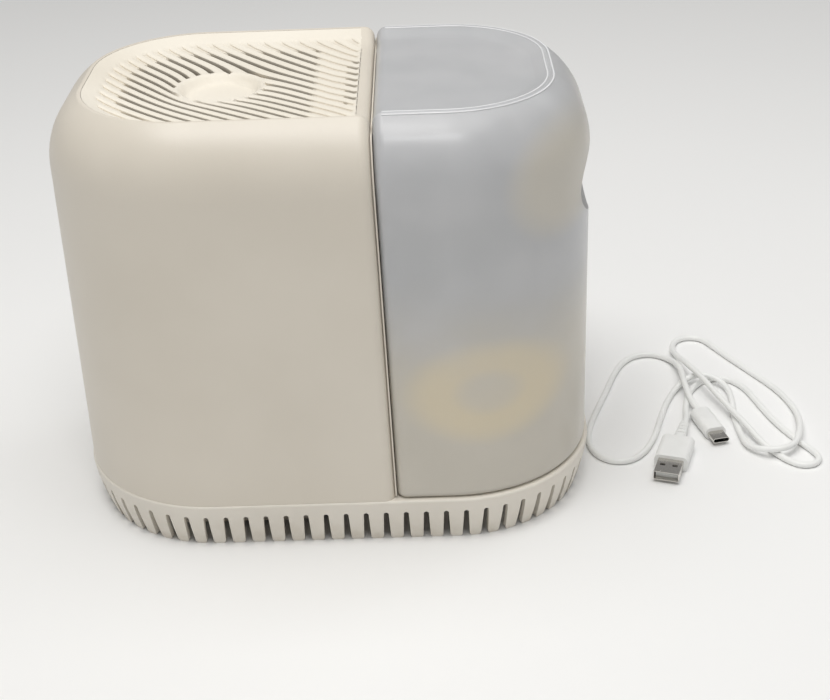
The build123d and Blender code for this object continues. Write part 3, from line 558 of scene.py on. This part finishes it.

# %% [markdown]
# The lines across the panel are levels of one swirl function. Far from the dish they are straight, and close to it
# they bend round it. Each level is found by stepping towards its answer a few times. Where a slot goes
# through, its floor is simply not made, so the slot is a real opening with walls 3 mm tall. Slots and grooves end
# over a short fade, given as where it starts and where it is full. Each point also keeps how deep it lies, plus a
# little for how far down the rib's crown it is, so that the finish can paint shade and dust into the slots.

# %% Slots, grooves and ribs
STEPS_TO_SETTLE = 40
SLOTS_FROM_EDGE = (30.8, 32.0)
SLOTS_FROM_SEAM = (2.6, 3.8)
SLOTS_FROM_DISH = (19.6, 20.8)
VENTS_LEFT = (10.9, 12.1)
VENTS_RIGHT = (-16.4, -15.4)
VENTS_HALF_SPAN = (-27.5, -26.5)
GROOVES_FROM_EDGE = (22.6, 23.8)
GROOVES_RIGHT = (-16.2, -15.0)
GROOVES_FROM_DISH = (19.0, 20.5)


def swirled(along, level):
    """Where a slot line at this level lies, across the slots."""
    across = level.copy()
    for _ in range(STEPS_TO_SETTLE):
        radius = np.maximum(np.hypot(along, across), DISH_RADIUS)
        across = level - SWIRL * (DISH_RADIUS / radius) ** 2
    return across


def through_mask(x, y):
    """1 where the slots go right through: round the dish, and in a short row of vents beside the seam."""
    from_edge = smooth_step(inset_at(x, y), *SLOTS_FROM_EDGE)
    from_dish = smooth_step(np.hypot(x - DISH_X, y), *SLOTS_FROM_DISH)
    middle = from_edge * smooth_step(-x, *SLOTS_FROM_SEAM) * from_dish
    vents = smooth_step(x, *VENTS_LEFT) * smooth_step(-x, *VENTS_RIGHT)
    return np.maximum(middle, vents * smooth_step(-np.abs(y), *VENTS_HALF_SPAN))


def groove_mask(x, y):
    """1 where there are at least shallow grooves."""
    from_edge = smooth_step(inset_at(x, y), *GROOVES_FROM_EDGE)
    from_dish = smooth_step(np.hypot(x - DISH_X, y), *GROOVES_FROM_DISH)
    return from_edge * smooth_step(-x, *GROOVES_RIGHT) * from_dish


RIB_HALF = (PITCH - SLOT) / 2
CROWN = 0.55
GROOVE_DEPTH = 0.45
SLOT_DEPTH = 3.0
OPEN_SHARE = 0.9
LAST_RIB = 22
PANEL_REACH = 110
STEP_ALONG = 0.8
EDGE_PULLS = 4
PROBE = 0.01
across_rib = np.array([-1.0, -0.93, -0.78, -0.5, 0.0, 0.5, 0.78, 0.93, 1.0]) * RIB_HALF


def pulled_to_edge(x, y):
    """Draws points that are just outside the panel back onto its edge."""
    for _ in range(EDGE_PULLS):
        x = np.minimum(x, RIGHT_EDGE)
        gap = np.maximum(EDGE_INSET - inset_at(x, y), 0)
        slope_x = (inset_at(x + PROBE, y) - inset_at(x - PROBE, y)) / (2 * PROBE)
        slope_y = (inset_at(x, y + PROBE) - inset_at(x, y - PROBE)) / (2 * PROBE)
        x = x + gap * slope_x
        y = y + gap * slope_y
    return x, y


def ribbed_panel():
    along = np.arange(-PANEL_REACH, PANEL_REACH + STEP_ALONG, STEP_ALONG)
    levels, kinds = [], []
    for number in range(-LAST_RIB, LAST_RIB + 1):
        levels += [number * PITCH - RIB_HALF, *(number * PITCH + across_rib), number * PITCH + RIB_HALF]
        kinds += ["wall"] + ["rib"] * len(across_rib) + ["wall"]
    levels = np.array(levels)
    grid_along, grid_level = np.meshgrid(along, levels)
    across = swirled(grid_along, grid_level)
    x = DISH_X + (grid_along + across) * math.sqrt(0.5)
    y = (across - grid_along) * math.sqrt(0.5)
    outside = np.maximum(EDGE_INSET - inset_at(x, y), x - RIGHT_EDGE)
    x, y = pulled_to_edge(x, y)

    through = through_mask(x, y)
    groove = groove_mask(x, y)
    is_wall = np.array([kind == "wall" for kind in kinds])[:, None]
    offset = (grid_level + PITCH / 2) % PITCH - PITCH / 2
    crown = CROWN * np.abs(offset / RIB_HALF) ** 3 * groove
    depth = np.where(is_wall, GROOVE_DEPTH * groove + (SLOT_DEPTH - GROOVE_DEPTH) * through, 0)
    z = panel_height(x, y) - crown - depth

    rows, columns = x.shape
    places = np.stack([x, y, z], axis=-1).reshape(-1, 3) * MM
    faces = []
    for row in range(rows - 1):
        floor_row = kinds[row] == "wall" and kinds[row + 1] == "wall"
        for column in range(columns - 1):
            corner_rows = (row, row, row + 1, row + 1)
            corner_columns = (column, column + 1, column + 1, column)
            if outside[corner_rows, corner_columns].min() > 0:
                continue
            if floor_row and through[corner_rows, corner_columns].min() > OPEN_SHARE:
                continue
            faces.append([r * columns + c for r, c in zip(corner_rows, corner_columns)])
    mesh = bpy.data.meshes.new("ribbed_panel")
    mesh.from_pydata([tuple(place) for place in places], [], faces)
    shade = mesh.attributes.new("slot_depth", "FLOAT", "POINT")
    shade.data.foreach_set("value", (depth / SLOT_DEPTH + 0.25 * crown).astype(np.float32).ravel())
    piece = bpy.data.objects.new("ribbed_panel", mesh)
    bpy.context.scene.collection.objects.link(piece)
    return piece


WELD = 0.01 * MM


def clean(piece, smooth_angle):
    """Drops loose points, welds doubled ones, and shades the surface smooth except at sharp edges."""
    work = bmesh.new()
    work.from_mesh(piece.data)
    loose = [vert for vert in work.verts if not vert.link_faces]
    bmesh.ops.delete(work, geom=loose, context="VERTS")
    bmesh.ops.remove_doubles(work, verts=work.verts, dist=WELD)
    bmesh.ops.recalc_face_normals(work, faces=work.faces)
    for face in work.faces:
        face.smooth = True
    for edge in work.edges:
        if len(edge.link_faces) == 2 and edge.calc_face_angle(0) > smooth_angle:
            edge.smooth = False
    work.to_mesh(piece.data)
    work.free()


# Painted shade, with dust, for the bottom of the slots.
SLOT_SHADE_BROWN = (0.36, 0.31, 0.24)


def panel_finish():
    paint = Paint("ribbed_cream")
    cloud = paint.noise(60 * MM)
    depth = paint.value("ShaderNodeAttribute", {"attribute_name": "slot_depth"}, None, "Fac")
    # The panel's plain cream is the top's lighter cream: painted light from above.
    plain = paint.between((0.82, 0.765, 0.665), (0.86, 0.81, 0.715), paint.fade(cloud, 0.3, 0.7))
    # Painted shade and dust in the slots: the deeper a point lies, the browner it is painted.
    browned = paint.between(plain, SLOT_SHADE_BROWN, 0.85 * paint.fade(depth, 0.02, 0.9))
    return paint.finish(browned, 0.5 + 0.25 * depth, paint.noise(BLASTED_GRAIN, 1.0), GRAIN_DEPTH)


panel = ribbed_panel()
clean(panel, math.radians(38))
panel.data.materials.append(panel_finish())
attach(panel, "housing")
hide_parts("top_grille")
print("ribbed panel faces:", len(panel.data.polygons))

# %% [markdown]
# The tank's top has a narrow land round its hollow, and both edges of that land are raised into thin beads where
# the two halves of the mould met. They are what catches the light. Each bead is a fine round line that follows
# the tank's outline at one inset and stops short of the seam. A curve with a small bevel is the simplest
# way, turned into a mesh so that it exports like the rest.

# %% Beads round the tank's top
def round_line(name, route, radius):
    """A mesh of a thin round line through the points of a route in millimetres."""
    curve = bpy.data.curves.new(name, "CURVE")
    curve.dimensions = "3D"
    curve.bevel_depth = radius * MM
    curve.bevel_resolution = 3
    curve.use_fill_caps = True
    line = curve.splines.new("POLY")
    line.points.add(len(route) - 1)
    for point, place in zip(line.points, route):
        point.co = (*(value * MM for value in place), 1)
    shape = bpy.data.objects.new(name + "_line", curve)
    bpy.context.scene.collection.objects.link(shape)
    mesh = bpy.data.meshes.new_from_object(shape.evaluated_get(bpy.context.evaluated_depsgraph_get()))
    piece = bpy.data.objects.new(name, mesh)
    bpy.context.scene.collection.objects.link(piece)
    bpy.data.objects.remove(shape)
    clean(piece, math.radians(60))
    piece.data.materials.clear()
    return piece


def outline_route(inset, height, start_x, steps=24):
    """Points along the outline at one inset, from the seam round the tank's end and back to the seam."""
    corner_x = HALF_WIDTH - CORNER
    corner_y = HALF_DEPTH - CORNER
    radius = CORNER - inset
    arc = [math.pi / 2 * step / steps for step in range(steps + 1)]
    back = [(start_x, HALF_DEPTH - inset)]
    back += [(corner_x + radius * math.sin(turn), corner_y + radius * math.cos(turn)) for turn in arc]
    front = [(x, -y) for x, y in reversed(back)]
    return [(x, y, height) for x, y in back + front]


BEAD_RADIUS = 0.4
BEAD_START_X = 27.5
BEADS = (("outer_bead", 16.9, 193.8), ("inner_bead", 19.6, 194.0))  # name, inset, height
# The beads are painted whiter than the tank's frosted wall and opaque, as a painted highlight along the land's
# edges.
bead_painted_highlight = moulded("bead_painted_highlight", (0.84, 0.845, 0.86), (0.80, 0.805, 0.82), roughness=0.3, drift=20 * MM)
for name, inset, height in BEADS:
    bead = round_line(name, outline_route(inset, height, BEAD_START_X), BEAD_RADIUS)
    bead.data.materials.append(bead_painted_highlight)
    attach(bead, "tank")
    print(name, "faces:", len(bead.data.polygons))

# %% [markdown]
# Housing and tank face each other across a gap of 1 mm. On the real housing a low lip runs round that face, a few
# millimetres in, so that no daylight shows between them and the gap reads as a soft brown line, not a black one.
# The lip is a line too. It leans with the seam, follows the round shoulder and crosses below the top.

# %% Lip in the seam
SEAM_X = 23.0
SEAM_LEAN = math.radians(1.27)
CREST_Z = 194.5
SHOULDER_RADIUS = 35.3
SHOULDER_Z = 165.4
LIP_DEPTH = 3.0
LIP_RADIUS = 0.38
LIP_FOOT_Z = 24.0
LIP_TOP_Z = 186.9


def lip_route(steps=20):
    radius = SHOULDER_RADIUS - LIP_DEPTH
    side = HALF_DEPTH - SHOULDER_RADIUS
    last = math.asin((LIP_TOP_Z - SHOULDER_Z) / radius)
    turns = [last * step / steps for step in range(steps + 1)]
    profile = [(side + radius, LIP_FOOT_Z)]
    profile += [(side + radius * math.cos(turn), SHOULDER_Z + radius * math.sin(turn)) for turn in turns]
    front = [(-y, z) for y, z in profile]
    back = [(y, z) for y, z in reversed(profile)]
    return [(SEAM_X + (CREST_Z - z) * math.tan(SEAM_LEAN), y, z) for y, z in front + back]


lip = round_line("seam_lip", lip_route(), LIP_RADIUS)
lip.data.materials.append(cream)
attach(lip, "housing")
print("seam lip faces:", len(lip.data.polygons))

# %% [markdown]
# Last, the sizes are compared: the dressed model has to keep the engineering model's box.

# %% Finish
def plain(box):
    return [list(corner) for corner in box]
